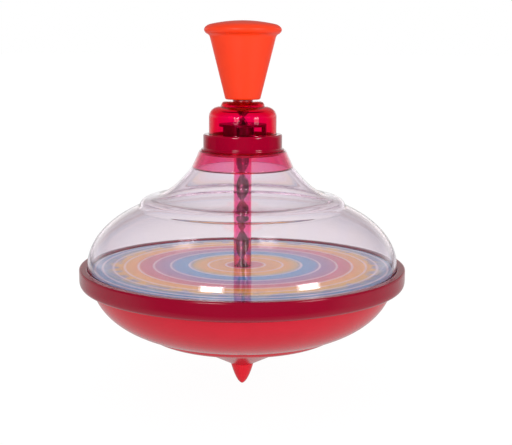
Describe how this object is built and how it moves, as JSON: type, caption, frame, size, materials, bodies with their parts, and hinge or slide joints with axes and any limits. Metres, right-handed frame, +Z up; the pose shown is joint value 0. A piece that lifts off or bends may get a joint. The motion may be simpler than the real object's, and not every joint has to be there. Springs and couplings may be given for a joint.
{
  "type": "spinning top",
  "caption": "Pump-action spinning top with a clear dome over a printed disc, a twisted rod in a tinted tube and a tapered push handle.",
  "frame": {"origin": "point of the spinning tip, on the spin axis", "axes": "+Z up along the spin axis, towards the handle; X and Y level"},
  "size_m": [0.1898, 0.1898, 0.2138],
  "materials": {
    "red_tip": "moulded, glossy",
    "crimson": "moulded, glossy",
    "crimson_rim": "moulded, glossy",
    "white_tray": "moulded, satin",
    "printed_card": "printed card under gloss film",
    "pink_clear": "tinted transparent, glossy",
    "clear": "clear transparent, glossy",
    "magenta_clear": "tinted transparent, glossy",
    "dark_plastic": "moulded, satin",
    "dark_red_clear": "tinted transparent, satin",
    "steel": "bright drawn strip",
    "orange": "moulded, soft satin"
  },
  "bodies": {
    "top_body": {"lower_bowl": "crimson", "bottom_cover": "crimson", "spinning_tip": "red_tip", "rim_ring": "crimson_rim", "disc_tray": "white_tray", "printed_disc": "printed_card", "spindle_tube": "pink_clear", "clear_dome": "clear", "skirt_collar": "magenta_clear", "neck_ring": "magenta_clear", "clutch_hub": "magenta_clear", "top_cap": "magenta_clear"},
    "bush": {"guide_bush": "dark_plastic"},
    "pump_handle": {"handle_body": "orange", "handle_lid": "orange", "handle_cross_pin": "steel", "twisted_rod": "steel", "rod_end_plug": "dark_plastic"},
    "clutch_nut": {"drive_nut": "dark_red_clear", "drive_plate": "steel"}
  },
  "joints": [
    {"name": "handle_spin", "type": "hinge", "parent": "top_body", "child": "bush", "pos_m": [0, 0, 0.1682], "axis": [0, 0, 1], "continuous": true},
    {"name": "handle_lift", "type": "slide", "parent": "bush", "child": "pump_handle", "axis": [0, 0, 1], "range_m": [0, 0.0825]},
    {"name": "nut_turn", "type": "hinge", "parent": "bush", "child": "clutch_nut", "pos_m": [0, 0, 0.149], "axis": [0, 0, 1], "range_deg": [0, 900]}
  ],
  "couplings": [
    {"joint": "nut_turn", "follows": "handle_lift", "rad_per_m": 190.4}
  ]
}
